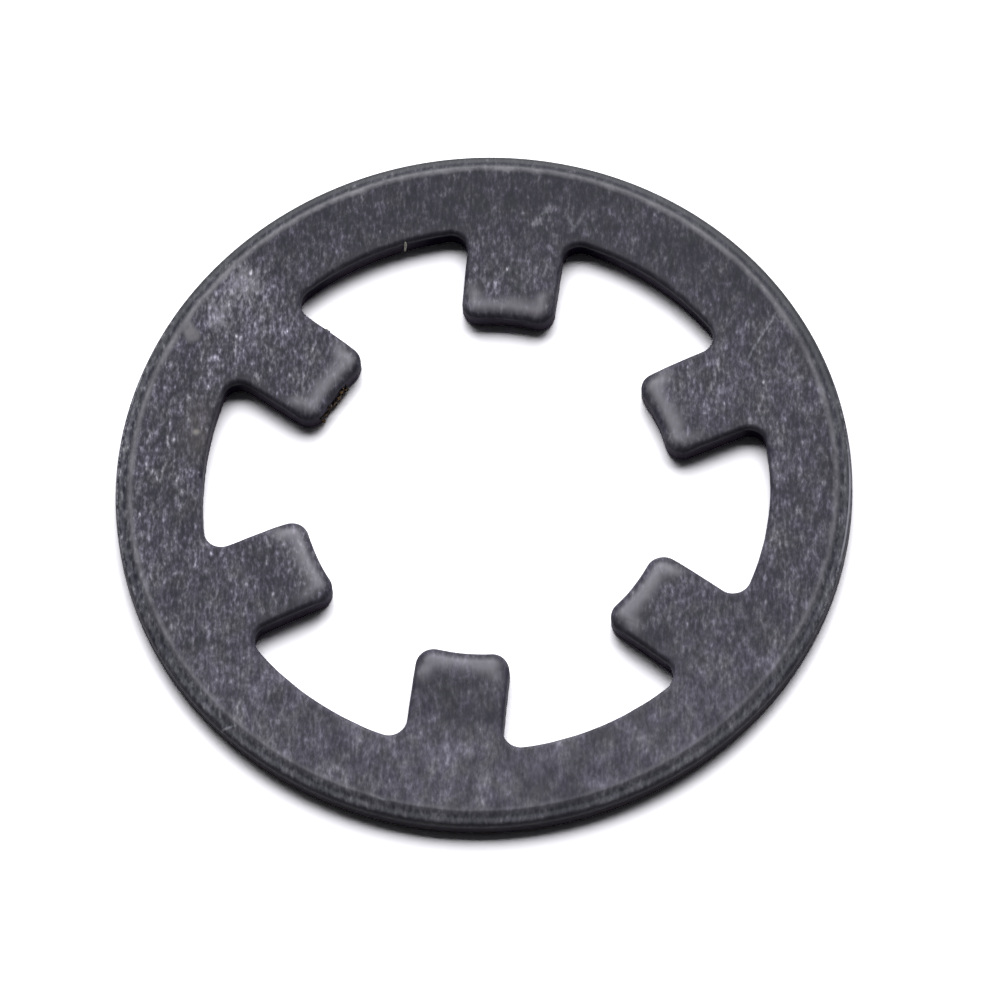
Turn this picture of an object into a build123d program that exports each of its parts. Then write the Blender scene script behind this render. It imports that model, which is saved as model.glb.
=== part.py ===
from build123d import *
import os

# Push-on retaining ring, one piece stamped from hardened strip.
#
# A flat ring carries six lugs that point inward. Their tips lie on one circle that is
# slightly smaller than the shaft, so the lugs grip the shaft when the ring is pushed on.
# The rim is bevelled on the upper side, and the blanking punch has rolled the upper edges
# of the opening over. The lug tips are crowned, so that the ring slides onto the shaft.
#
# Frame: the origin is on the ring's axis at the underside, +Z points up along the axis,
# and one lug points from +Y towards the axis. All sizes are in millimetres.

# Strip and rim
STOCK_THICKNESS = 0.8
OUTER_DIAMETER = 25.0
RIM_BEVEL_WIDTH = 0.52  # radial width of the bevel, from its crease to the rim wall
RIM_BEVEL_DROP = 0.31  # height that the bevel loses over that width
RIM_EDGE_RADIUS = 0.12  # blend between the bevel and the rim wall

# Opening and lugs
BODY_BORE_DIAMETER = 19.3  # the opening between the lugs
TIP_CIRCLE_DIAMETER = 12.5  # the circle that the lug tips grip
LUG_COUNT = 6
LUG_TIP_WIDTH = 3.16
LUG_ROOT_WIDTH = 3.30
LUG_ROOT_FILLET = 0.60
TIP_CORNER_RADIUS = 0.60

# Edges
EDGE_ROLL_RADIUS = 0.25  # rolled upper edge all round the opening
TIP_CROWN_LENGTH = 0.65  # radial length of the crown on each lug tip
TIP_CROWN_DROP = 0.10  # height that the crown loses at the tip
UNDERSIDE_BREAK = 0.10  # broken lower edges

# Sizes that follow from the driving dimensions
OUTER_RADIUS = OUTER_DIAMETER / 2
BODY_BORE_RADIUS = BODY_BORE_DIAMETER / 2
TIP_RADIUS = TIP_CIRCLE_DIAMETER / 2
LUG_PITCH = 360 / LUG_COUNT
FIRST_LUG_ANGLE = 90  # degrees from +X
CUT_MARGIN = 1.0  # how far cutting shapes run past the faces that they cut
CLOSE = 0.01  # how near a point must lie to a circle or a level to count as on it


def rim_blank():
    """Round blank with the bevelled rim and the broken lower edge."""
    wall_top = (OUTER_RADIUS, STOCK_THICKNESS - RIM_BEVEL_DROP)
    section = make_face(
        Polyline(
            (0, 0),
            (OUTER_RADIUS - UNDERSIDE_BREAK, 0),
            (OUTER_RADIUS, UNDERSIDE_BREAK),
            wall_top,
            (OUTER_RADIUS - RIM_BEVEL_WIDTH, STOCK_THICKNESS),
            (0, STOCK_THICKNESS),
            close=True,
        )
    )
    corner = section.vertices().sort_by_distance((*wall_top, 0))[0]
    return revolve(Plane.XZ * fillet(corner, RIM_EDGE_RADIUS), Axis.Z)


def lug_outline():
    """One lug on +X, from the tip circle to well inside the ring's body."""
    root_x = BODY_BORE_RADIUS
    tip_x = TIP_RADIUS
    slope = (LUG_ROOT_WIDTH - LUG_TIP_WIDTH) / 2 / (root_x - tip_x)
    inner_x = tip_x - CUT_MARGIN
    outer_x = root_x + CUT_MARGIN
    inner_half = LUG_TIP_WIDTH / 2 - slope * CUT_MARGIN
    outer_half = LUG_ROOT_WIDTH / 2 + slope * CUT_MARGIN
    bar = make_face(
        Polyline(
            (inner_x, -inner_half),
            (outer_x, -outer_half),
            (outer_x, outer_half),
            (inner_x, inner_half),
            close=True,
        )
    )
    return bar - Circle(TIP_RADIUS)


def opening_outline():
    """The punched opening: the body bore less the lugs, with rounded corners."""
    outline = Circle(BODY_BORE_RADIUS)
    for number in range(LUG_COUNT):
        outline -= Rot(0, 0, FIRST_LUG_ANGLE + number * LUG_PITCH) * lug_outline()
    outline = fillet(corners_on_circle(outline, BODY_BORE_RADIUS), LUG_ROOT_FILLET)
    return fillet(corners_on_circle(outline, TIP_RADIUS), TIP_CORNER_RADIUS)


def distance_from_axis(point):
    """How far a point or a corner lies from the ring's axis."""
    return Vector(point.X, point.Y).length


def corners_on_circle(outline, radius):
    """Those corners of an outline that lie on a circle about the axis."""
    return [
        corner
        for corner in outline.vertices()
        if abs(distance_from_axis(corner) - radius) < CLOSE
    ]


def opening_edges(ring, height):
    """The edges of the opening that lie at one height."""
    level = ring.edges().filter_by_position(Axis.Z, height - CLOSE, height + CLOSE)
    return [
        edge for edge in level if distance_from_axis(edge @ 0.5) < BODY_BORE_RADIUS + CLOSE
    ]


def tip_crown():
    """Cutter that crowns the lug tips with an arc that leaves the upper face smoothly."""
    start = (TIP_RADIUS + TIP_CROWN_LENGTH, STOCK_THICKNESS)
    end = (TIP_RADIUS, STOCK_THICKNESS - TIP_CROWN_DROP)
    inner_x = TIP_RADIUS - CUT_MARGIN
    top = STOCK_THICKNESS + CUT_MARGIN
    crown = TangentArc(start, end, tangent=(-1, 0))
    frame = Polyline(end, (inner_x, end[1]), (inner_x, top), (start[0], top), start)
    return revolve(Plane.XZ * make_face([crown, *frame.edges()]), Axis.Z)


def retaining_ring():
    """The whole ring."""
    ring = rim_blank() - extrude(opening_outline(), STOCK_THICKNESS + CUT_MARGIN)
    ring = fillet(opening_edges(ring, STOCK_THICKNESS), EDGE_ROLL_RADIUS)
    ring = chamfer(opening_edges(ring, 0), UNDERSIDE_BREAK)
    return ring - tip_crown()


os.makedirs("parts", exist_ok=True)
export_step(retaining_ring(), "parts/retaining_ring.step")
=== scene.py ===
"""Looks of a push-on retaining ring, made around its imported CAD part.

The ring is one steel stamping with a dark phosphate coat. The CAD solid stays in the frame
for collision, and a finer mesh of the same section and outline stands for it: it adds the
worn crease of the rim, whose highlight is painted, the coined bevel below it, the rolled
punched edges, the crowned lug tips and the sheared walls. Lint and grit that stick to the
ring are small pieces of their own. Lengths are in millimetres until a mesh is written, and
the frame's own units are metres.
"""

import logging
import math
from dataclasses import dataclass, field
from enum import Enum
from typing import Optional, Union

import bmesh
import bpy
import numpy as np
from mathutils import Matrix, Vector

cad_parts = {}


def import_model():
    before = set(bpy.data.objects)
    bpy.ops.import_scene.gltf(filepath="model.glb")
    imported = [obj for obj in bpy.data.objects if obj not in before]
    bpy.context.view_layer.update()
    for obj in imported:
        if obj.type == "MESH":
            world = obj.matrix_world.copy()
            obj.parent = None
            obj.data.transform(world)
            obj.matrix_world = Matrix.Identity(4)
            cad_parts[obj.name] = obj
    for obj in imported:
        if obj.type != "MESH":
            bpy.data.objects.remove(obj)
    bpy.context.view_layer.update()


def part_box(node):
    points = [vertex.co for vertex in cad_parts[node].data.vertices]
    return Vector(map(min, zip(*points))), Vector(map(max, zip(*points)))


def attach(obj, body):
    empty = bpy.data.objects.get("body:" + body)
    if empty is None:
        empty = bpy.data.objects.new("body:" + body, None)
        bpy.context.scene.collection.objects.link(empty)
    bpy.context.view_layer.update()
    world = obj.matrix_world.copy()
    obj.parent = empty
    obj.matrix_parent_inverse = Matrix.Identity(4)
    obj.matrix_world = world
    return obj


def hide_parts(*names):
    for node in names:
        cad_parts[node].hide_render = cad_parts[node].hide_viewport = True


LOG = logging.getLogger("retaining_ring")

MM = 0.001  # metres in a millimetre
NODE = "retaining_ring"
BODY = "root"
SLOT = "blackened_spring_steel"

Object = bpy.types.Object
Material = bpy.types.Material
Socket = bpy.types.NodeSocket
Colour = tuple[float, float, float]
Paint = Union[Colour, Socket]
Points = np.ndarray


# Shader graphs -----------------------------------------------


class Value:
    """One float output in a shader graph, which Python's operators can work on."""

    def __init__(self, graph: "Graph", socket: Socket) -> None:
        """Wraps a socket.

        Args:
            graph: The graph that holds the socket and takes the new nodes.
            socket: The float output.
        """
        self.graph = graph
        self.socket = socket

    def __add__(self, other: "Number") -> "Value":
        """This plus another."""
        return self.graph.maths("ADD", self, other)

    __radd__ = __add__

    def __sub__(self, other: "Number") -> "Value":
        """This less another."""
        return self.graph.maths("SUBTRACT", self, other)

    def __rsub__(self, other: "Number") -> "Value":
        """Another less this."""
        return self.graph.maths("SUBTRACT", other, self)

    def __mul__(self, other: "Number") -> "Value":
        """This times another."""
        return self.graph.maths("MULTIPLY", self, other)

    __rmul__ = __mul__

    def __truediv__(self, other: "Number") -> "Value":
        """This divided by another."""
        return self.graph.maths("DIVIDE", self, other)

    def __rtruediv__(self, other: "Number") -> "Value":
        """Another divided by this."""
        return self.graph.maths("DIVIDE", other, self)

    def __pow__(self, other: "Number") -> "Value":
        """This to a power."""
        return self.graph.maths("POWER", self, other)

    def __abs__(self) -> "Value":
        """The size of this without its sign."""
        return self.graph.maths("ABSOLUTE", self)


Number = Union[float, Value]


class Graph:
    """The node tree of one material or world, written as Python expressions."""

    def __init__(self, tree: bpy.types.NodeTree) -> None:
        """Takes over a tree and empties it.

        Args:
            tree: The node tree to write.
        """
        self.tree = tree
        tree.nodes.clear()

    @classmethod
    def of_material(cls, name: str) -> tuple[Material, "Graph"]:
        """Makes a material.

        Args:
            name: The material's name.

        Returns:
            The material, and the graph that writes it.
        """
        made = bpy.data.materials.new(name)
        made.use_nodes = True
        return made, cls(made.node_tree)

    def node(self, kind: str, sockets: Optional[dict] = None, **settings: str) -> bpy.types.Node:
        """Adds one node of any type.

        Args:
            kind: The node's type, such as ShaderNodeTexNoise.
            sockets: Input values or links by socket name or number. A link is a Value
                or an output socket.
            settings: The node's own choices, such as a Math node's operation.

        Returns:
            The new node.
        """
        made = self.tree.nodes.new(kind)
        for name, setting in settings.items():
            setattr(made, name, setting)
        for name, given in (sockets or {}).items():
            target = made.inputs[name]
            if isinstance(given, Value):
                self.tree.links.new(given.socket, target)
            elif isinstance(given, Socket):
                self.tree.links.new(given, target)
            else:
                target.default_value = given
        return made

    def maths(self, operation: str, *values: Number) -> Value:
        """The result of a Math node on some inputs."""
        made = self.node("ShaderNodeMath", dict(enumerate(values)), operation=operation)
        return Value(self, made.outputs[0])

    def larger(self, first: Number, second: Number) -> Value:
        """The larger of two numbers."""
        return self.maths("MAXIMUM", first, second)

    def vector(self, operation: str, inputs: dict, output: int = 0) -> Socket:
        """One output of a Vector Math node."""
        return self.node("ShaderNodeVectorMath", inputs, operation=operation).outputs[output]

    def scaled(self, vector: Socket, factor: Number) -> Socket:
        """A vector or colour times a number."""
        return self.vector("SCALE", {0: vector, "Scale": factor})

    def step(self, value: Number, low: float, high: float) -> Value:
        """A smooth step from 0 at low to 1 at high; low may be above high.

        Args:
            value: What is measured.
            low: Where the step starts.
            high: Where the step ends.

        Returns:
            The step, from 0 to 1.
        """
        inputs = {"Value": value, "From Min": low, "From Max": high}
        made = self.node("ShaderNodeMapRange", inputs, interpolation_type="SMOOTHSTEP")
        return Value(self, made.outputs["Result"])

    def band(self, value: Number, middle: float, half: float, blend: float) -> Value:
        """A soft band, 1 within half of its middle and 0 from a blend beyond that."""
        return self.step(abs(value - middle), half + blend, half)

    def noise(self, place: Socket, scale: float, detail: float, rough: float) -> Value:
        """Noise from 0 to 1.

        Args:
            place: The coordinates.
            scale: Features per unit of the coordinates.
            detail: Octaves.
            rough: How strong the finer octaves are.

        Returns:
            The noise.
        """
        inputs = {"Vector": place, "Scale": scale, "Detail": detail, "Roughness": rough}
        return Value(self, self.node("ShaderNodeTexNoise", inputs).outputs["Fac"])

    def blend(self, share: Number, under: Paint, over: Paint) -> Socket:
        """Mixes two colours.

        Args:
            share: How much of the second colour shows.
            under: The first colour.
            over: The second colour.

        Returns:
            The mixed colour.
        """
        pair = (under, over)
        first, second = (paint if isinstance(paint, Socket) else (*paint, 1.0) for paint in pair)
        inputs = {0: share, 6: first, 7: second}
        return self.node("ShaderNodeMix", inputs, data_type="RGBA").outputs[2]

    def point(self, x: Number, y: Number, z: Number) -> Socket:
        """Joins three numbers into a vector."""
        return self.node("ShaderNodeCombineXYZ", {0: x, 1: y, 2: z}).outputs[0]

    def parts(self, vector: Socket) -> tuple[Value, Value, Value]:
        """Splits a vector into its three numbers."""
        made = self.node("ShaderNodeSeparateXYZ", {0: vector})
        return tuple(Value(self, output) for output in made.outputs)

    def measure(self, which: "Measure") -> Value:
        """Reads what the mesh carries for its finish."""
        made = self.node("ShaderNodeAttribute", attribute_name=which.value)
        return Value(self, made.outputs["Fac"])

    def place(self) -> Socket:
        """The object's own coordinates, in millimetres."""
        return self.scaled(self.node("ShaderNodeTexCoord").outputs["Object"], 1 / MM)

    def surface(self, sockets: dict, height: Value, depth: float, strength: float) -> None:
        """Ends a material with its shader.

        Args:
            sockets: The shader's inputs.
            height: The relief, from 0 to 1.
            depth: What a relief of 1 stands for, in millimetres.
            strength: How strongly the relief shows.
        """
        inputs = {"Strength": strength, "Distance": depth * MM, "Height": height}
        relief = self.node("ShaderNodeBump", inputs).outputs["Normal"]
        shader = self.node("ShaderNodeBsdfPrincipled", {**sockets, "Normal": relief})
        self.node("ShaderNodeOutputMaterial", {"Surface": shader.outputs["BSDF"]})


# The ring's sizes and outline --------------------------------


class Measure(Enum):
    """What the mesh carries for its finish: distances in millimetres, and which way it faces."""

    FROM_OPENING = "from_opening"  # from the punched edge
    FROM_TIP = "from_tip"  # from the nearest lug tip
    FROM_CREASE = "from_crease"  # outwards from the rim's crease
    FRONT_EDGE = "front_edge"  # 1 where the opening's edge faces -Y, -1 where it faces +Y


@dataclass(frozen=True)
class RingSizes:
    """Sizes of the stamping. The outer radius and the thickness come from the frame."""

    outer_radius: float
    thickness: float
    bore_radius: float = 9.65  # opening between the lugs
    tip_radius: float = 6.25
    lug_count: int = 6
    first_lug: float = 90.0  # degrees from +X
    lug_tip_width: float = 3.16
    lug_root_width: float = 3.30
    root_fillet: float = 0.60
    tip_corner: float = 0.60
    bevel_width: float = 0.52
    underside_break: float = 0.10
    roll_width: float = 0.18  # rolled upper edge of the opening
    roll_drop: float = 0.16
    crown_length: float = 0.65  # crowned lug tips
    crown_drop: float = 0.10

    @property
    def crease_radius(self) -> float:
        """Radius of the crease between the upper face and the bevel."""
        return self.outer_radius - self.bevel_width

    @property
    def pitch(self) -> float:
        """Angle from one lug to the next, in radians."""
        return 2 * math.pi / self.lug_count

    @classmethod
    def from_frame(cls) -> "RingSizes":
        """Reads the outer radius and the thickness off the CAD node's box."""
        low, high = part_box(NODE)
        return cls(outer_radius=high.x / MM, thickness=(high.z - low.z) / MM)


@dataclass(frozen=True)
class Arc:
    """A stretch of outline on a circle."""

    centre: Points
    radius: float
    start: float  # angle of the first point, in radians
    turn: float  # signed angle to the last point
    outward: int  # 1 if the opening lies outside the circle, -1 if it lies inside

    @property
    def length(self) -> float:
        """Length along the arc."""
        return abs(self.turn) * self.radius

    def at(self, share: Points) -> tuple[Points, Points]:
        """Samples the arc.

        Args:
            share: Shares of the length, from 0 to 1.

        Returns:
            The points there, and the normals into the opening.
        """
        angle = self.start + self.turn * share
        ray = np.stack([np.cos(angle), np.sin(angle)], axis=1)
        return self.centre + ray * self.radius, ray * self.outward


@dataclass(frozen=True)
class Side:
    """A straight stretch of outline."""

    start: Points
    end: Points
    normal: Points  # unit vector into the opening

    @property
    def length(self) -> float:
        """Length of the stretch."""
        return float(np.linalg.norm(self.end - self.start))

    def at(self, share: Points) -> tuple[Points, Points]:
        """Points and normals into the opening, at shares of the length."""
        points = self.start + (self.end - self.start) * share[:, None]
        return points, np.repeat(self.normal[None, :], len(share), axis=0)


def angle_of(point: Points) -> float:
    """Angle of a plan point about the axis, in radians."""
    return math.atan2(point[1], point[0])


@dataclass
class OpeningOutline:
    """Plan of the punched opening, sampled evenly, with its normals."""

    sizes: RingSizes
    columns_per_lug: int = 250  # samples from one gap to the next
    # How far off the rim's centre the punch has landed
    punch_offset: tuple[float, float] = (0.075, -0.072)
    # How much longer each lug is than its nominal size, from the first on; below 0 is shorter
    tip_growth: tuple[float, ...] = (-0.14, 0.0, 0.06, 0.13, 0.03, -0.08)
    # How far inside the opening's circle a lug's growth starts, and the length it comes in over
    growth_reach: tuple[float, float] = (1.0, 2.2)
    # How far the edge bulges into the opening in the gap after each lug
    gap_growth: tuple[float, ...] = (0.0, 0.07, 0.03, 0.0, 0.0, 0.0)
    bulge_half: float = 0.36  # half the angle that such a bulge takes up, in radians
    gap_margin: float = 0.45  # how far inside the opening's circle the edge still counts as gap
    # Angles on the rim, from a lug's middle, that the ends of its root fillet, its side and its
    # corner spread to, in radians
    lug_spread: tuple[float, ...] = (-0.085, -0.035, -0.018)
    points: Points = field(init=False)  # plan of the samples
    normals: Points = field(init=False)  # unit vectors into the opening
    spread: Points = field(init=False)  # angle on the rim that each sample spreads to, in radians
    on_tip: Points = field(init=False)  # whether each sample lies on a lug tip or its corners

    def __post_init__(self) -> None:
        """Samples one pitch and repeats it around the ring."""
        plan, normal, spread, on_tip = self._one_pitch()
        count = self.sizes.lug_count
        turns = math.radians(self.sizes.first_lug) + self.sizes.pitch * np.arange(count)
        all_points, all_normals, all_spread = [], [], []
        for turn in turns:
            spin = np.array([[math.cos(turn), math.sin(turn)], [-math.sin(turn), math.cos(turn)]])
            all_points.append(plan @ spin)
            all_normals.append(normal @ spin)
            all_spread.append(spread + turn)
        self.points = np.concatenate(all_points) + np.array(self.punch_offset)
        self.normals = np.concatenate(all_normals)
        self.spread = np.concatenate(all_spread)
        self.on_tip = np.tile(on_tip, count)
        self._uneven(turns)

    def _uneven(self, turns: Points) -> None:
        """Gives each lug and each gap its own small error.

        Args:
            turns: The lugs' angles, in radians.
        """
        radius = np.hypot(self.points[:, 0], self.points[:, 1])
        bearing = np.arctan2(self.points[:, 1], self.points[:, 0])
        half = self.sizes.pitch / 2
        in_gap = radius > self.sizes.bore_radius - self.gap_margin
        begin, length = self.growth_reach
        reach = np.clip((self.sizes.bore_radius - begin - radius) / length, 0, 1)
        for turn, tip, gap in zip(turns, self.tip_growth, self.gap_growth):
            off = np.angle(np.exp(1j * (bearing - turn)))
            inward = -np.array([math.cos(turn), math.sin(turn)])
            self.points += (reach * tip * (np.abs(off) < half))[:, None] * inward
            off = np.angle(np.exp(1j * (bearing - turn - half)))
            bulge = np.clip(1 - (off / self.bulge_half) ** 2, 0, 1) ** 2 * in_gap
            self.points += (bulge * gap)[:, None] * self.normals

    def _half_path(self) -> list[Union[Arc, Side]]:
        """Works out the outline of half a pitch.

        Returns:
            The stretches from the middle of a gap to the middle of a lug on +X.
        """
        s = self.sizes
        tip_end = np.array([s.tip_radius, -s.lug_tip_width / 2])
        root_end = np.array([s.bore_radius, -s.lug_root_width / 2])
        along = (root_end - tip_end) / np.linalg.norm(root_end - tip_end)
        normal = np.array([along[1], -along[0]])
        origin = np.zeros(2)

        def centre_at(offset: float, radius: float) -> Points:
            """Finds the centre of a rounded corner.

            Args:
                offset: Its signed distance from the lug's side.
                radius: Its distance from the axis.

            Returns:
                The centre.
            """
            base = tip_end + normal * offset
            reach = math.sqrt(radius**2 - float(base @ normal) ** 2)
            return normal * float(base @ normal) + along * reach

        root_centre = centre_at(s.root_fillet, s.bore_radius - s.root_fillet)
        corner_centre = centre_at(-s.tip_corner, s.tip_radius + s.tip_corner)
        side_start = root_centre - normal * s.root_fillet
        side_end = corner_centre + normal * s.tip_corner
        root_angle = angle_of(root_centre)
        tip_angle = angle_of(corner_centre)
        gap_start = -s.pitch / 2

        root_to = angle_of(-normal)
        root_turn = (root_to - root_angle) % (2 * math.pi)
        corner_from = angle_of(normal)
        corner_to = angle_of(-corner_centre)
        corner_turn = -((corner_from - corner_to) % (2 * math.pi))
        return [
            Arc(origin, s.bore_radius, gap_start, root_angle - gap_start, -1),
            Arc(root_centre, s.root_fillet, root_angle, root_turn, -1),
            Side(side_start, side_end, normal),
            Arc(corner_centre, s.tip_corner, corner_from, corner_turn, 1),
            Arc(origin, s.tip_radius, tip_angle, -tip_angle, -1),
        ]

    def _one_pitch(self) -> tuple[Points, Points, Points, Points]:
        """Samples from one gap's middle to the next, about a lug on +X.

        Returns:
            The points, the normals into the opening, the angle on the rim that each
            sample spreads to, and whether it lies on the tip or its corners.
        """
        half = self._half_path()
        lengths = [stretch.length for stretch in half]
        total = sum(lengths)
        count = self.columns_per_lug // 2
        distance = (np.arange(count) + 0.5) * total / count
        points, normals = np.zeros((count, 2)), np.zeros((count, 2))
        on_tip = np.zeros(count, bool)
        start = 0.0
        for number, (stretch, length) in enumerate(zip(half, lengths)):
            here = (distance >= start) & (distance < start + length)
            points[here], normals[here] = stretch.at((distance[here] - start) / length)
            on_tip[here] = number >= len(half) - 2
            start += length
        ends = np.cumsum([0.0] + lengths)
        gap_start, gap_end = half[0].start, half[0].start + half[0].turn
        spread = np.interp(distance, ends, [gap_start, gap_end, *self.lug_spread, 0.0])
        flip = np.array([1.0, -1.0])
        return (
            np.concatenate([points, points[::-1] * flip]),
            np.concatenate([normals, normals[::-1] * flip]),
            np.concatenate([spread, -spread[::-1]]),
            np.concatenate([on_tip, on_tip[::-1]]),
        )

    def inset(self, distance: Union[float, Points]) -> Points:
        """The outline moved into the steel."""
        return self.points - self.normals * np.reshape(distance, (-1, 1))

    def circle(self, radius: Union[float, Points]) -> Points:
        """The matching points on a circle about the axis."""
        ray = np.stack([np.cos(self.spread), np.sin(self.spread)], axis=1)
        return ray * np.reshape(radius, (-1, 1))

    def edge_near(self, angle: float) -> tuple[Points, Points]:
        """The opening's edge in one direction.

        Args:
            angle: The direction, in degrees from +X.

        Returns:
            The point on the edge, and the direction into the opening there.
        """
        bearing = np.arctan2(self.points[:, 1], self.points[:, 0]) - math.radians(angle)
        nearest = int(np.argmin(np.abs(np.arctan2(np.sin(bearing), np.cos(bearing)))))
        return self.points[nearest], self.normals[nearest]


def nearest_distance(plan: Points, samples: Points, block: int = 2000) -> Points:
    """Distance from each plan point to the nearest of some samples.

    Args:
        plan: The plan points.
        samples: The samples.
        block: How many plan points to take at a time.

    Returns:
        The distances.
    """
    found = np.empty(len(plan))
    for first in range(0, len(plan), block):
        gap = plan[first : first + block, None, :] - samples[None, :, :]
        found[first : first + block] = np.sqrt((gap**2).sum(2).min(1))
    return found


# Meshes ------------------------------------------------------


def add_object(name: str, data: bpy.types.ID) -> Object:
    """Adds an object to the scene.

    Args:
        name: The object's name.
        data: Its mesh, light or camera.

    Returns:
        The object.
    """
    made = bpy.data.objects.new(name, data)
    bpy.context.scene.collection.objects.link(made)
    return made


def add_piece(name: str, points: Points, faces: list[list[int]], material: Material) -> Object:
    """Makes a smooth piece that rides with the ring.

    Args:
        name: The piece's name.
        points: Its points, in millimetres.
        faces: Its faces.
        material: Its material.

    Returns:
        The piece.
    """
    mesh = bpy.data.meshes.new(name)
    mesh.from_pydata((points * MM).tolist(), [], faces)
    mesh.update()
    mesh.polygons.foreach_set("use_smooth", np.ones(len(mesh.polygons), bool))
    mesh.materials.append(material)
    piece = add_object(name, mesh)
    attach(piece, BODY)
    return piece


@dataclass
class RingMesh:
    """The stamping's skin, as rows that follow its section and columns that follow its outline."""

    sizes: RingSizes
    outline: OpeningOutline
    body_start: float = 0.44  # how far from the opening the rows start to spread out to the rim
    # How far inside the crease they arrive, and the last row on the face
    body_end: tuple[float, float] = (0.09, 0.04)
    wall_rows: int = 8  # rows up the punched wall
    roll_rows: int = 8  # rows over the rolled edge
    body_rows: int = 14  # rows from the opening's edge to the rim
    floor_rows: int = 5  # rows across the underside
    farthest: float = 6.0  # cap on the measures that the mesh carries, in millimetres
    # The bevel's section, as (distance out from the crease, height lost)
    bevel: tuple[tuple[float, float], ...] = (
        (0.000, 0.000),
        (0.030, 0.005),
        (0.060, 0.016),
        (0.110, 0.037),
        (0.165, 0.060),
        (0.220, 0.081),
        (0.280, 0.099),
        (0.345, 0.114),
        (0.400, 0.131),
        (0.445, 0.156),
        (0.480, 0.192),
        (0.503, 0.238),
        (0.516, 0.292),
        (0.520, 0.350),
    )

    def _wander(self, seed: int, waves: tuple[int, ...], size: float) -> Points:
        """A smooth closed wander along the outline.

        Args:
            seed: Picks the phases.
            waves: How many waves each part has around the ring.
            size: The largest part's height.

        Returns:
            One number for each column.
        """
        random = np.random.default_rng(seed)
        along = np.linspace(0, 2 * math.pi, len(self.outline.points), endpoint=False)
        total = np.zeros(len(along))
        for wave in waves:
            phase = random.uniform(0, 2 * math.pi)
            total += np.sin(wave * along + phase) * random.uniform(0.5, 1.0)
        return size * total / math.sqrt(len(waves))

    def crease_wave(self) -> Points:
        """How far the crease wanders off its circle, for each column."""
        return self._wander(seed=11, waves=(1, 2, 3, 7, 12), size=0.014)

    def _rows(self) -> list[tuple[Points, Points]]:
        """Lays out the section.

        Returns:
            The rows in order, each as its plan points and its heights.
        """
        s, outline = self.sizes, self.outline
        top, columns = s.thickness, len(outline.points)
        level = np.ones(columns)
        edge_wave = self._wander(seed=3, waves=(23, 41, 67, 103), size=0.006)
        crease = s.crease_radius + self.crease_wave()
        rows: list[tuple[Points, Points]] = []

        def inner(distance: Union[float, Points], height: Union[float, Points]) -> None:
            """Adds a row that follows the opening."""
            rows.append((outline.inset(distance + edge_wave), level * height))

        def outer(radius: Union[float, Points], height: Union[float, Points]) -> None:
            """Adds a row that follows the rim."""
            rows.append((outline.circle(radius), level * height))

        edge = s.underside_break
        inner(edge, 0.0)
        inner(edge * 0.40, edge * 0.35)
        wall_top = top - s.roll_drop
        for number in range(self.wall_rows):
            share = number / (self.wall_rows - 1)
            size = 0.006 * (1 - share)
            rough = self._wander(seed=20 + number, waves=(151, 233, 307), size=size)
            inner(rough, edge + (wall_top - edge) * share)
        for number in range(1, self.roll_rows + 1):
            turn = number / self.roll_rows * math.pi / 2
            inner(s.roll_width * (1 - math.cos(turn)), wall_top + s.roll_drop * math.sin(turn))
        start_row = outline.inset(self.body_start + edge_wave)
        end_row = outline.circle(crease - self.body_end[0])
        rows.append((outline.inset((s.roll_width + self.body_start) / 2 + edge_wave), level * top))
        for share in np.linspace(0, 1, self.body_rows):
            rows.append((start_row + (end_row - start_row) * share, level * top))
        outer(crease - self.body_end[1], top)
        for out, lost in self.bevel:
            outer(crease + (s.outer_radius - crease) * out / self.bevel[-1][0], top - lost)
        wall_start = top - self.bevel[-1][1]
        for share in (0.25, 0.5, 0.75, 1.0):
            outer(s.outer_radius, wall_start + (edge * 1.1 - wall_start) * share)
        outer(s.outer_radius - edge * 0.35, edge * 0.35)
        outer(s.outer_radius - edge, 0.0)
        under_start = outline.circle(s.outer_radius - edge)
        under_end = outline.inset(edge + edge_wave)
        for number in range(1, self.floor_rows):
            share = number / self.floor_rows
            rows.append((under_start + (under_end - under_start) * share, level * 0.0))
        return rows

    def build(self) -> Object:
        """Makes the mesh object.

        Returns:
            The ring, in the frame's metres.
        """
        s, outline = self.sizes, self.outline
        rows = self._rows()
        plan = np.concatenate([points for points, _ in rows])
        height = np.concatenate([heights for _, heights in rows])
        from_tip = nearest_distance(plan, outline.points[outline.on_tip])
        lean = np.clip((s.crown_length - from_tip) / s.crown_length, 0, 1) ** 2
        height = height - s.crown_drop * lean * np.clip(height / s.thickness, 0, 1) ** 3

        columns, count = len(outline.points), len(rows)
        index = np.arange(columns * count).reshape(count, columns)
        beside = np.roll(index, -1, axis=1)
        above, above_beside = np.roll(index, -1, axis=0), np.roll(beside, -1, axis=0)
        faces = np.stack([index, beside, above_beside, above], axis=2).reshape(-1, 4)
        material = PhosphateFinish(s).material()
        ring = add_piece("ring_skin", np.column_stack([plan, height]), faces.tolist(), material)
        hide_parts(NODE)

        beyond = np.hypot(plan[:, 0], plan[:, 1]).reshape(count, columns)
        for measure, values in (
            (Measure.FROM_OPENING, nearest_distance(plan, outline.points)),
            (Measure.FROM_TIP, from_tip),
            (Measure.FROM_CREASE, (beyond - s.crease_radius - self.crease_wave()).ravel()),
            (Measure.FRONT_EDGE, np.tile(-outline.normals[:, 1], count)),
        ):
            layer = ring.data.attributes.new(measure.value, "FLOAT", "POINT")
            layer.data.foreach_set("value", np.minimum(values, self.farthest).astype(np.float32))
        return ring


# The ring's finish -------------------------------------------


@dataclass(frozen=True)
class Smear:
    """A straight pale mark on the upper face."""

    start: tuple[float, float]  # one end, in plan
    end: tuple[float, float]  # the other end
    half_width: float
    strength: float  # how far it lightens the coat


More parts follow.
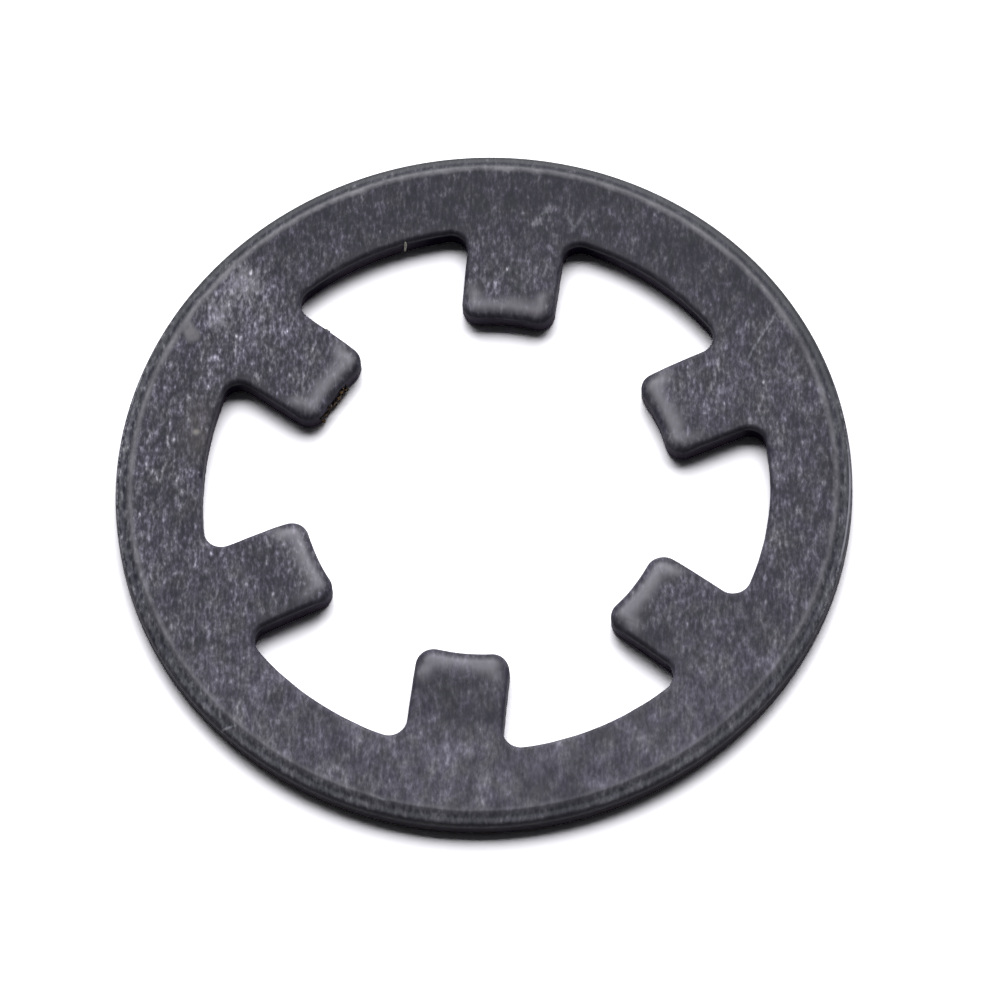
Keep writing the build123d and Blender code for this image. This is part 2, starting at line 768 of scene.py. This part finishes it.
@dataclass(frozen=True)
class Patch:
    """A soft oval mark on the upper face."""

    centre: tuple[float, float]  # its middle, in plan
    half: tuple[float, float]  # its half axes
    strength: float  # how strongly it shows
    hard: float = 0.2  # share of the half axes at which it starts to fade


class Surface:
    """The ring's surface as shader values: places, noises, regions and the colour so far.

    The regions run from 0 to 1. Near, back, left and far are in plan, where +Y is far.
    """

    def __init__(self, graph: Graph, sizes: RingSizes, grain_angle: float) -> None:
        """Adds the nodes that measure the surface.

        Args:
            graph: The material's graph.
            sizes: The ring's sizes.
            grain_angle: Direction of the rolling grain in plan, in degrees from +X.
        """
        self.graph = graph
        self.colour: Paint = (0.0, 0.0, 0.0)
        place, step = graph.place(), graph.step
        self.x, self.y, self.z = x, y, z = graph.parts(place)
        self.radius = graph.maths("SQRT", x * x + y * y)
        angle = math.radians(grain_angle)
        self.across = x * math.sin(angle) - y * math.cos(angle)
        self.along = x * math.cos(angle) + y * math.sin(angle)
        self.from_opening = graph.measure(Measure.FROM_OPENING)
        self.from_tip = graph.measure(Measure.FROM_TIP)
        self.from_crease = graph.measure(Measure.FROM_CREASE)
        self.front_edge = step(graph.measure(Measure.FRONT_EDGE), 0.1, 0.8)

        # Angle off the nearest lug's middle, in radians, and the distance that it makes
        turn = graph.maths("ARCTAN2", y, x) + (sizes.pitch * 4 - math.pi / 2)
        self.off_lug = abs(graph.maths("PINGPONG", turn, sizes.pitch / 2))
        self.off_middle = self.radius * graph.maths("SINE", self.off_lug)

        # Noises; the first three have their sizes across, along and up, in millimetres
        self.streaks = self._grained((0.125, 0.46, 0.125), rough=0.55)
        self.specks = self._grained((0.115, 0.25, 0.115), rough=0.60)
        self.blotches = self._grained((0.55, 0.80, 0.50), rough=0.50)
        self.cloud = graph.noise(place, scale=0.33, detail=2.0, rough=0.5)
        leaning = graph.point(self.along / 0.9, self.across / 0.7, z)
        self.hues = graph.noise(leaning, scale=1.0, detail=3.0, rough=0.6)
        self.pits = graph.noise(place, scale=7.0, detail=3.0, rough=0.6)

        # Regions
        top, rim = sizes.thickness, sizes.outer_radius
        self.wall = step(z, top - 0.13, top - 0.24) * step(self.from_opening, 0.10, 0.03)
        self.rim_wall = step(z, top - 0.26, top - 0.36) * step(self.radius, rim - 0.06, rim - 0.01)
        self.walls = graph.larger(self.wall, self.rim_wall)
        self.bevel = step(self.from_crease, -0.02, 0.08)
        self.far = step(y, 6.4, 9.0) * step(self.radius, 9.1, 9.8)
        self.back = step(y, -1.0, 10.0)
        self.near = step(y, 0.0, -11.0)
        self.left = step(x, 4.0, -9.0)

    def _grained(self, size: tuple[float, float, float], rough: float) -> Value:
        """Noise that is stretched along the rolling grain.

        Args:
            size: Size of its features across the grain, along it and up, in millimetres.
            rough: How strong the finer octave is.

        Returns:
            The noise.
        """
        across, along, up = size
        place = self.graph.point(self.across / across, self.along / along, self.z / up)
        return self.graph.noise(place, scale=1.0, detail=2.0, rough=rough)

    def paint(self, share: Number, colour: Paint) -> None:
        """Lays a colour over what is there so far."""
        self.colour = self.graph.blend(share, self.colour, colour)

    def patches(self, patches: tuple[Patch, ...], ragged: Value) -> Number:
        """How strongly a set of patches shows at each place.

        Args:
            patches: The patches.
            ragged: What makes their outlines ragged, as a share of their half axes.

        Returns:
            The sum of the patches.
        """
        total: Number = 0.0
        for patch in patches:
            (x0, y0), (half_x, half_y) = patch.centre, patch.half
            squares = ((self.x - x0) / half_x) ** 2.0 + ((self.y - y0) / half_y) ** 2.0
            away = self.graph.maths("SQRT", squares)
            total = self.graph.step(away + ragged, 1.1, patch.hard) * patch.strength + total
        return total

    def dots(self, u: Value, v: Value, per_length: float, size: float, rare: float) -> Value:
        """Soft pale dots of mixed sizes, one at most in each cell.

        Args:
            u: One coordinate in plan, in millimetres.
            v: The other; the dots are longer this way.
            per_length: Cells in a millimetre.
            size: Radius of the largest dots, in millimetres.
            rare: Share of the cells that stay empty.

        Returns:
            The dots.
        """
        graph = self.graph
        inputs = {"Vector": graph.point(u, v * 0.58, self.z), "Scale": per_length}
        cells = graph.node("ShaderNodeTexVoronoi", inputs, feature="F1")
        chance, bright, _ = graph.parts(cells.outputs["Color"])
        reach = graph.larger(size * per_length * graph.step(chance, rare, 1.0), 0.001)
        return graph.step(Value(graph, cells.outputs["Distance"]) / reach, 1.3, 0.2) * bright

    def smear(self, smear: Smear, wander: Value) -> Value:
        """How strongly a smear shows at each place.

        Args:
            smear: The smear.
            wander: How far its line wanders, in millimetres.

        Returns:
            The smear.
        """
        (x0, y0), (x1, y1) = smear.start, smear.end
        length = math.hypot(x1 - x0, y1 - y0)
        ux, uy = (x1 - x0) / length, (y1 - y0) / length
        off_x, off_y = self.x - x0, self.y - y0
        along = off_x * ux + off_y * uy
        aside = abs(off_x * uy - off_y * ux + wander)
        step = self.graph.step
        ends = step(along, -0.15, 0.15) * step(along, length + 0.2, length - 0.2)
        return step(aside, smear.half_width * 2.2, 0.0) * ends * smear.strength


@dataclass(frozen=True)
class PhosphateFinish:
    """Dark phosphate and oil on spring steel: rolling grain, wear, painted shade and highlights.
    """

    sizes: RingSizes
    grain_angle: float = 96.5  # direction of the rolling grain in plan, in degrees from +X
    lightness: float = -3.06  # logarithm of the plain coat's reflectance

    # The coat
    violet: Colour = (0.985, 0.930, 1.190)  # tint of its cooler parts
    neutral: Colour = (1.005, 0.970, 1.080)  # tint of the rest
    bevel_hue: Colour = (0.985, 0.990, 1.060)  # tint on the bevel
    shade: Colour = (0.0000, 0.0000, 0.0100)  # added everywhere
    crystal_and_glint: Colour = (0.300, 0.300, 0.345)  # bare crystals, chips, smears, and the painted glint on the rim's edge
    frosting: Colour = (0.172, 0.170, 0.196)  # between crowded crystals
    painted_edge_shade: Colour = (0.036, 0.034, 0.042)  # painted shade on the rolled edges and the near bevel's foot
    painted_far_bevel_shade: Colour = (0.0400, 0.0450, 0.0440)  # painted shade on the foot of the far bevel

    # Soil and wear
    polished: Colour = (0.190, 0.184, 0.198)
    crumb: Colour = (0.270, 0.255, 0.235)
    film: Colour = (0.078, 0.070, 0.056)
    burnished: Colour = (0.160, 0.154, 0.172)  # lug tips
    # worn crease, also its painted highlight
    worn_crease_and_highlight: Colour = (0.149, 0.147, 0.164)

    # Walls
    sheared_wall: Colour = (0.0240, 0.0200, 0.0280)  # rim
    punched_wall: Colour = (0.0460, 0.0385, 0.0550)  # opening
    fracture_and_shade: Colour = (0.0310, 0.0240, 0.0390)  # its torn lower part, darker also as painted shade by the floor
    painted_corner_shade: Colour = (0.0040, 0.0015, 0.0090)  # painted shade in its corners beside the lugs

    frost: tuple[Patch, ...] = (  # patches of crowded pale crystals
        Patch((-9.00, 6.85), (1.00, 0.80), 0.90),
        Patch((-9.80, 5.40), (0.65, 0.85), 0.80),
        Patch((-9.20, 6.10), (1.90, 1.70), 0.48),
        Patch((-8.00, 4.40), (1.60, 1.50), 0.22),
        Patch((-9.98, 3.65), (0.35, 0.45), 0.40),
        Patch((0.66, 10.00), (0.36, 0.32), 1.00, 0.1),
        Patch((1.05, 10.50), (0.24, 0.34), 0.75, 0.1),
        Patch((1.35, 10.92), (0.24, 0.17), 0.70, 0.1),
        Patch((1.88, 10.00), (0.20, 0.50), 0.50, 0.1),
        Patch((2.30, 10.60), (0.22, 0.38), 0.40, 0.1),
        Patch((9.75, -1.20), (0.90, 1.60), 0.16),
        Patch((8.00, 5.00), (2.60, 2.80), 0.20),
        Patch((-1.30, 9.60), (1.00, 0.50), 0.40),
        Patch((-0.12, -9.99), (0.35, 0.50), 0.45),
    )
    rubbed: tuple[Patch, ...] = (  # patches where the coat is rubbed smooth
        Patch((-10.74, 4.86), (0.24, 0.32), 0.8, 0.4),
        Patch((-10.53, 4.60), (0.27, 0.30), 0.8, 0.4),
    )
    # Where a brown film lies, and where crumbs of pale soil lie
    soiled: tuple[Patch, ...] = (Patch((-9.95, 1.10), (0.75, 1.50), 0.40),)
    stuck: tuple[Patch, ...] = (Patch((-9.95, 0.99), (0.17, 0.14), 0.9, 0.2),)
    smears: tuple[Smear, ...] = (  # pale marks on the upper face
        Smear((9.11, 7.14), (8.59, 6.00), 0.030, 0.65),
        Smear((8.66, 6.10), (8.44, 5.51), 0.035, 0.45),
        Smear((0.60, 9.90), (1.14, 10.67), 0.075, 0.42),
        Smear((1.99, 9.83), (1.64, 10.48), 0.050, 0.28),
        Smear((1.99, 9.83), (2.32, 10.63), 0.050, 0.28),
        Smear((-7.24, -9.62), (-7.66, -9.80), 0.030, 0.85),
        Smear((-2.16, -11.78), (-1.98, -11.82), 0.035, 0.90),
    )

    def material(self) -> Material:
        """Writes the finish as a material.

        Returns:
            The material.
        """
        made, graph = Graph.of_material(SLOT)
        at = Surface(graph, self.sizes, self.grain_angle)
        self._coat(at)
        self._soil(at)
        self._edges(at)
        crease_wear_and_highlight = self._wear_rim(at)
        self._smears(at)
        burnish = self._burnish_tips(at)
        self._bare_walls(at)
        roughness = 0.58 - 0.14 * burnish - 0.06 * crease_wear_and_highlight + (at.specks - 0.5) * 0.16
        metallic = graph.larger(burnish * 0.35, crease_wear_and_highlight * 0.3)
        sockets = {
            "Base Color": at.colour,
            "Roughness": roughness + at.walls * 0.25,
            "Metallic": graph.larger(metallic, at.wall * (1.0 - at.rim_wall)),
            "Specular IOR Level": 0.22,
        }
        grain = (at.streaks + at.specks) * (0.5 - 0.35 * burnish)
        height = grain + at.pits * (0.25 + 0.7 * at.walls)
        graph.surface(sockets, height, depth=0.006, strength=0.5)
        return made

    def _coat(self, at: Surface) -> None:
        """Lays the plain coat: its tone, with painted light on the bevel, grain, crystals, tint.

        Args:
            at: The surface.
        """
        graph, step = at.graph, at.graph.step
        # Lighter near, darker far and on near lugs; the bevel's tone is painted light and shade
        near_lug = at.near * step(at.radius, 9.6, 8.4) * (1.0 - 0.8 * at.left)
        face_tone = 0.37 * at.near - 0.70 * at.far - 0.75 * near_lug
        bevel_painted_light = 0.34 * at.near - 0.54 * at.back
        tone = (1.0 - at.bevel) * face_tone + at.bevel * bevel_painted_light
        contrast = 1.30 - 0.66 * at.near + 0.36 * at.left - 0.35 * at.bevel * at.back
        contrast = contrast * (0.40 + 0.60 * step(at.from_opening, 0.02, 0.18))
        mottle = (at.blotches - 0.5) * 2.5 + (at.cloud - 0.5) * 0.9
        grain = (at.streaks - 0.5) * 2.6 + (at.specks - 0.5) * 3.6
        many_dots = at.dots(at.across, at.along, per_length=4.4, size=0.095, rare=0.25)
        few_dots = at.dots(at.across, at.along, per_length=2.3, size=0.085, rare=0.62)
        crystals = many_dots * 0.75 + few_dots * 1.35
        crowded = at.patches(self.frost, (at.blotches - 0.5) * 0.9)
        level = self.lightness + tone + mottle + (grain + crystals) * contrast + crowded * 0.95
        tint = graph.blend(step(at.hues, 0.36, 0.66), self.violet, self.neutral)
        tint = graph.blend(at.bevel * 0.7, tint, self.bevel_hue)
        coat = graph.scaled(tint, graph.maths("EXPONENT", level))
        at.colour = graph.vector("ADD", {0: coat, 1: self.shade})
        bed = step(crowded + (at.specks + at.streaks - 1.0) * 1.3, 0.35, 1.15)
        at.paint(bed * 0.50, self.frosting)

    def _soil(self, at: Surface) -> None:
        """Adds the rubbed patch, the brown film and the crumbs.

        Args:
            at: The surface.
        """
        rubbed = at.patches(self.rubbed, (at.specks + at.hues - 1.0) * 0.9)
        at.paint(at.graph.maths("MINIMUM", rubbed, 1.0) * 0.75, self.polished)
        soiled = at.patches(self.soiled, (at.blotches - 0.5) * 0.8)
        at.paint(soiled * (0.4 + 0.9 * at.specks), self.film)
        at.paint(at.patches(self.stuck, (at.specks - 0.5) * 1.2) * 0.8, self.crumb)

    def _edges(self, at: Surface) -> None:
        """Paints shade on the opening's rolled edge and on the foot of the bevel.

        Args:
            at: The surface.
        """
        step, out = at.graph.step, at.from_crease
        # Painted shade on the rolled edge, most where it faces the front; a thin dark line all
        # round
        rolled = step(at.from_opening, 0.50, 0.02) * at.front_edge
        rolled = at.graph.larger(rolled, step(at.from_opening, 0.07, 0.01) * 0.3)
        at.paint(rolled * (1 - at.wall) * 0.50, self.painted_edge_shade)
        # Painted shade, grey-green, on the foot of the far bevel
        foot = step(out, 0.20, 0.40) * step(out, 0.56, 0.50)
        at.paint(foot * at.back * 0.55, self.painted_far_bevel_shade)
        # Painted shade on the near bevel's foot, which slopes towards the front
        at.paint(step(out, 0.39, 0.47) * at.near * 0.75, self.painted_edge_shade)

    def _wear_rim(self, at: Surface) -> Value:
        """Wears the crease and chips the bevel; paints highlights on crease and rim edge.

        Args:
            at: The surface.

        Returns:
            How worn the crease is, with its painted highlight.
        """
        graph, step, out = at.graph, at.graph.step, at.from_crease
        wavy = out + (at.blotches - 0.5) * 0.12
        streaky = 0.80 + 0.9 * (at.pits - 0.5) + 1.3 * (at.blotches - 0.5)
        # Painted highlight on the worn crease: stronger at the back and left, weaker near
        highlight_by_side = 0.60 + 0.20 * at.back - 0.26 * at.near + 0.22 * at.left
        crease_wear_and_highlight = step(wavy, -0.19, -0.01) * step(wavy, 0.17, 0.01) * highlight_by_side * streaky
        at.paint(crease_wear_and_highlight, self.worn_crease_and_highlight)
        chips = at.dots(at.x, at.y, per_length=3.2, size=0.07, rare=0.35) * (0.35 + 0.45 * at.near)
        shoulder = graph.band(out, middle=0.31, half=0.03, blend=0.07)
        at.paint(shoulder * (0.10 + chips), self.crystal_and_glint)
        # Painted glint along the rim's outer edge on the flanks, unbroken at the right end
        right_glint = step(at.x, 12.0, 12.4) * step(at.y, -2.2, -1.0)
        worn = graph.larger(step(at.pits, 0.42, 0.60) * 0.7, right_glint) * 0.9
        flank = step(abs(at.x), 11.3, 12.2)
        foot = graph.band(out, middle=0.440, half=0.015, blend=0.030)
        at.paint(foot * flank * worn, self.crystal_and_glint)
        return crease_wear_and_highlight

    def _smears(self, at: Surface) -> None:
        """Adds the pale marks.

        Args:
            at: The surface.
        """
        sand = at.graph.step(at.specks, 0.25, 0.65)
        for smear in self.smears:
            at.paint(at.smear(smear, (at.blotches - 0.5) * 0.10) * sand, self.crystal_and_glint)

    def _burnish_tips(self, at: Surface) -> Value:
        """Burnishes the lug tips.

        Args:
            at: The surface.

        Returns:
            How burnished each place is.
        """
        step = at.graph.step
        reach = at.from_tip + (at.blotches - 0.5) * 0.45 + (at.specks - 0.5) * 0.15
        burnish = step(at.from_tip, 0.10, 0.36) * step(reach, 1.00, 0.42)
        burnish = burnish * (1 - at.wall) * step(at.off_middle, 1.62, 1.10)
        at.paint(burnish * (0.66 - 0.26 * at.near), self.burnished)
        return burnish

    def _bare_walls(self, at: Surface) -> None:
        """Bares the sheared walls of rim and opening; paints shade at lug corners and low down.

        Args:
            at: The surface.
        """
        graph, step, opening = at.graph, at.graph.step, 1.0 - at.rim_wall
        # Torn lower wall; its darker colour also paints the shade by the floor
        torn = step(at.z + (at.pits - 0.5) * 0.25, 0.48, 0.12) * opening
        # Painted shade in the corners beside the lugs, where the walls face the front
        corner = step(at.radius, 8.9, 9.35) * step(at.off_lug, 0.42, 0.28)
        steel = graph.blend(at.rim_wall, self.punched_wall, self.sheared_wall)
        steel = graph.blend(torn, steel, self.fracture_and_shade)
        steel = graph.blend(corner * at.front_edge * opening, steel, self.painted_corner_shade)
        at.paint(at.walls * (0.95 + 0.15 * (at.pits - 0.5)), steel)


@dataclass(frozen=True)
class SpeckFinish:
    """A plain matt finish for dirt and lint, mottled between two colours."""

    name: str
    dark: Colour
    pale: Colour
    tone: float = 0.5  # the level of mottling at which it turns pale
    roughness: float = 0.75

    def material(self) -> Material:
        """Writes the finish as a material.

        Returns:
            The material.
        """
        made, graph = Graph.of_material(self.name)
        place = graph.place()
        coarse = graph.noise(place, scale=9.0, detail=2.0, rough=0.6)
        fine = graph.noise(place, scale=40.0, detail=2.0, rough=0.6)
        share = graph.step(coarse, self.tone - 0.08, self.tone + 0.08)
        sockets = {
            "Base Color": graph.blend(share * (0.6 + 0.6 * fine), self.dark, self.pale),
            "Roughness": self.roughness + (coarse - 0.5) * 0.2,
            "Specular IOR Level": 0.3,
        }
        graph.surface(sockets, fine, depth=0.004, strength=0.6)
        return made


# Lint and grit -----------------------------------------------


@dataclass
class Lint:
    """A fibre that hangs over the edge of the opening."""

    outline: OpeningOutline
    angle: float = 113.0  # where it hangs, in degrees from +X
    # Its line, as (distance into the opening, height lost, drift along the edge)
    path: tuple[tuple[float, float, float], ...] = (
        (-0.20, 0.050, 0.050),
        (-0.06, 0.085, 0.040),
        (0.035, 0.220, 0.020),
        (0.050, 0.360, -0.005),
        (0.075, 0.500, -0.030),
    )
    thickness: float = 0.100  # its diameter
    sides: int = 8  # corners of its section
    steps: int = 24  # sections along it
    finish: SpeckFinish = SpeckFinish("lint", (0.36, 0.34, 0.30), (0.62, 0.60, 0.54), 0.45, 0.85)

    def build(self) -> Object:
        """Makes the fibre.

        Returns:
            The fibre, dressed.
        """
        edge, inward = self.outline.edge_near(self.angle)
        beside = np.array([-inward[1], inward[0]])
        share = np.linspace(0, 1, self.steps)
        knots = np.linspace(0, 1, len(self.path))
        out, lost, drift = (np.interp(share, knots, row) for row in np.array(self.path).T)
        plan = edge + inward * out[:, None] + beside * drift[:, None]
        line = np.column_stack([plan, self.outline.sizes.thickness - lost])
        for _ in range(2):
            line[1:-1] = (line[:-2] + 2 * line[1:-1] + line[2:]) / 4
        girth = self.thickness / 2 * np.sin(math.pi * np.clip(share, 0.03, 0.97)) ** 0.35
        tangent = np.gradient(line, axis=0)
        tangent /= np.linalg.norm(tangent, axis=1)[:, None]
        first = np.append(beside, 0.0)
        second = np.cross(tangent, first)
        turn = np.arange(self.sides) * 2 * math.pi / self.sides
        cosine, sine = np.cos(turn)[None, :, None], np.sin(turn)[None, :, None]
        ring = first * cosine + second[:, None, :] * sine
        points = (line[:, None, :] + ring * girth[:, None, None]).reshape(-1, 3)
        index = np.arange(len(points)).reshape(self.steps, self.sides)
        beside_index = np.roll(index, -1, axis=1)
        faces = np.stack(
            [index[:-1], beside_index[:-1], beside_index[1:], index[1:]], axis=2
        ).reshape(-1, 4)
        caps = [index[0][::-1].tolist(), index[-1].tolist()]
        return add_piece("lint_fibre", points, faces.tolist() + caps, self.finish.material())


@dataclass
class Grit:
    """Small lumps of dirt that stick to the ring."""

    name: str
    outline: OpeningOutline
    # Where the lumps lie along the opening's edge, from and to, in degrees
    angles: tuple[float, float]
    heights: tuple[float, float]  # their lowest and highest centres
    count: int
    size: tuple[float, float]  # radii of the smallest and largest
    finish: SpeckFinish
    seed: int  # picks their places and shapes

    def build(self) -> Object:
        """Makes the lumps as one piece.

        Returns:
            The piece, dressed.
        """
        random = np.random.default_rng(self.seed)
        unit_points, unit_faces = self._unit_lump()
        points, faces = [], []
        for _ in range(self.count):
            edge, inward = self.outline.edge_near(random.uniform(*self.angles))
            radius = random.uniform(*self.size)
            low, high = max(self.heights[0], radius * 1.1), self.heights[1]
            centre = np.append(edge + inward * radius * 0.45, random.uniform(low, high))
            swell = 1 + 0.35 * np.sin(unit_points @ random.normal(0, 3.0, (3, 3))).sum(1) / 3
            squash = random.uniform(0.6, 1.0, 3)
            lump = centre + unit_points * squash * (radius * swell)[:, None]
            first = sum(len(other) for other in points)
            points.append(lump)
            faces += [[corner + first for corner in face] for face in unit_faces]
        return add_piece(self.name, np.concatenate(points), faces, self.finish.material())

    @staticmethod
    def _unit_lump() -> tuple[Points, list[list[int]]]:
        """Makes a sphere of radius 1.

        Returns:
            Its points and faces.
        """
        ball = bmesh.new()
        bmesh.ops.create_icosphere(ball, subdivisions=3, radius=1.0)
        points = np.array([vertex.co[:] for vertex in ball.verts])
        faces = [[vertex.index for vertex in face.verts] for face in ball.faces]
        ball.free()
        return points, faces


# Studio ------------------------------------------------------


def direction(azimuth: float, elevation: float) -> Vector:
    """The unit vector that points some way.

    Args:
        azimuth: Degrees from +X.
        elevation: Degrees above the horizon.

    Returns:
        The vector.
    """
    turn, rise = math.radians(azimuth), math.radians(elevation)
    level = math.cos(rise)
    return Vector((math.cos(turn) * level, math.sin(turn) * level, math.sin(rise)))


@dataclass(frozen=True)
class Viewpoint:
    """The camera, looking down on the ring through a long lens."""

    azimuth: float = 11.4  # turn of the camera about the axis, in degrees; 0 looks along +Y
    elevation: float = 65.25  # height above the horizon, in degrees
    roll: float = 5.25  # turn about the line of sight, in degrees
    distance: float = 340.5  # from the ring's upper face, in millimetres
    lens: float = 361.9  # focal length, in millimetres
    aside: float = 0.572  # how far right of the axis the camera aims, in millimetres
    below: float = 0.530  # how far below the axis it aims
    sensor: float = 36.0  # width of the film, in millimetres

    def place(self, sizes: RingSizes) -> None:
        """Makes the camera and hands it to the scene.

        Args:
            sizes: The ring's sizes.
        """
        back = direction(self.azimuth - 90.0, self.elevation)
        right = direction(self.azimuth, 0.0)
        up = back.cross(right)
        centre = Vector((0.0, 0.0, sizes.thickness))
        tilt = Matrix.Rotation(math.radians(-self.roll), 3, "Z")
        shown_right = right * tilt[0][0] + up * tilt[1][0]
        shown_up = right * tilt[0][1] + up * tilt[1][1]
        eye = centre + back * self.distance
        aim = centre + shown_right * self.aside - shown_up * self.below
        sight = (eye - aim).normalized()
        side = shown_up.cross(sight).normalized()
        basis = Matrix((side, sight.cross(side), sight)).transposed()

        data = bpy.data.cameras.new("studio_camera")
        data.lens = self.lens
        data.sensor_width = self.sensor
        data.clip_start, data.clip_end = 0.01, 10.0
        camera = add_object("studio_camera", data)
        camera.matrix_world = Matrix.Translation(eye * MM) @ basis.to_4x4()
        bpy.context.scene.camera = camera


@dataclass(frozen=True)
class Lamp:
    """A soft box aimed at the ring."""

    name: str
    azimuth: float  # where it stands, in degrees from +X
    elevation: float  # height above the horizon, in degrees
    distance: float  # from the ring, in metres
    width: float  # of the box, in metres
    height: float  # of the box, in metres
    power: float  # in watts

    def place(self) -> None:
        """Makes the lamp."""
        data = bpy.data.lights.new(self.name, "AREA")
        data.shape = "RECTANGLE"
        data.size, data.size_y = self.width, self.height
        data.energy = self.power
        lamp = add_object(self.name, data)
        way = direction(self.azimuth, self.elevation)
        lamp.location = way * self.distance
        lamp.rotation_mode = "QUATERNION"
        lamp.rotation_quaternion = way.to_track_quat("Z", "Y")
        lamp.visible_camera = False


@dataclass(frozen=True)
class Studio:
    """White floor, a room that is bright behind the ring, and a soft box above it."""

    bright_side: float = 95.0  # direction of the bright wall, in degrees from +X
    bright: float = 0.22  # its strength
    dark: float = 0.008  # strength of the room on the other side
    # The soft boxes
    lamps: tuple[Lamp, ...] = (Lamp("key_light", 95.0, 45.0, 0.5, 0.55, 0.48, power=4.5),)
    floor_half: float = 2.0  # half the floor's side, in metres
    floor_gap: float = 0.00001  # how far the floor lies below the ring, in metres
    floor_colour: Colour = (0.93, 0.93, 0.93)
    # The floor's colour where it is looked at, so that it reads as white
    floor_shown: Colour = (1.60, 1.59, 1.67)

    def build(self) -> None:
        """Makes the world, the lamps and the floor."""
        self._world()
        for lamp in self.lamps:
            lamp.place()
        self._floor()
        bpy.context.scene.view_settings.view_transform = "Standard"

    def _world(self) -> None:
        """Lights the room from one side."""
        world = bpy.data.worlds.new("studio_room")
        world.use_nodes = True
        bpy.context.scene.world = world
        graph = Graph(world.node_tree)
        towards = direction(self.bright_side, 0.0)
        way = graph.node("ShaderNodeTexCoord").outputs["Generated"]
        facing = Value(graph, graph.vector("DOT_PRODUCT", {0: way, 1: towards}, 1))
        strength = self.dark + (self.bright - self.dark) * graph.step(facing, -0.15, 0.95)
        inputs = {"Color": (1.0, 1.0, 1.0, 1.0), "Strength": strength}
        background = graph.node("ShaderNodeBackground", inputs)
        graph.node("ShaderNodeOutputWorld", {"Surface": background.outputs[0]})

    def _floor(self) -> None:
        """Lays the floor at the ring's underside."""
        half = self.floor_half
        mesh = bpy.data.meshes.new("floor")
        corners = [(-half, -half, 0.0), (half, -half, 0.0), (half, half, 0.0), (-half, half, 0.0)]
        mesh.from_pydata(corners, [], [(0, 1, 2, 3)])
        floor = add_object("floor", mesh)
        floor.location.z = -self.floor_gap
        made, graph = Graph.of_material("floor_white")
        rays = graph.node("ShaderNodeLightPath").outputs
        kinds = ("Is Camera Ray", "Is Glossy Ray", "Is Transmission Ray")
        camera, glossy, clear = (Value(graph, rays[kind]) for kind in kinds)
        seen = graph.larger(camera, graph.larger(glossy, clear))
        colour = graph.blend(seen, self.floor_colour, self.floor_shown)
        matt = graph.node("ShaderNodeBsdfDiffuse", {"Color": colour})
        graph.node("ShaderNodeOutputMaterial", {"Surface": matt.outputs[0]})
        mesh.materials.append(made)


def main() -> None:
    """Builds the ring's looks around the frame."""
    logging.basicConfig(level=logging.INFO, format="%(message)s")
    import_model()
    sizes = RingSizes.from_frame()

    outline = OpeningOutline(sizes)
    brown = SpeckFinish("brown_grit", (0.018, 0.013, 0.010), (0.30, 0.17, 0.08), tone=0.60)
    cream = SpeckFinish("cream_grit", (0.16, 0.105, 0.06), (0.62, 0.52, 0.40), tone=0.46)
    green = SpeckFinish("green_burr", (0.060, 0.066, 0.045), (0.17, 0.18, 0.13), tone=0.48)
    for part in (
        RingMesh(sizes, outline),
        Lint(outline),
        Grit("tip_grit", outline, (146.0, 161.0), (0.05, 0.50), 34, (0.045, 0.100), brown, 5),
        Grit("tip_sand", outline, (146.5, 160.0), (0.05, 0.40), 8, (0.030, 0.060), cream, 6),
        Grit("side_burr", outline, (138.2, 139.0), (0.52, 0.66), 4, (0.035, 0.060), green, 8),
    ):
        piece = part.build()
        LOG.info("%s: %d faces", piece.name, len(piece.data.polygons))

    Studio().build()
    Viewpoint().place(sizes)


if __name__ == "__main__":
    main()
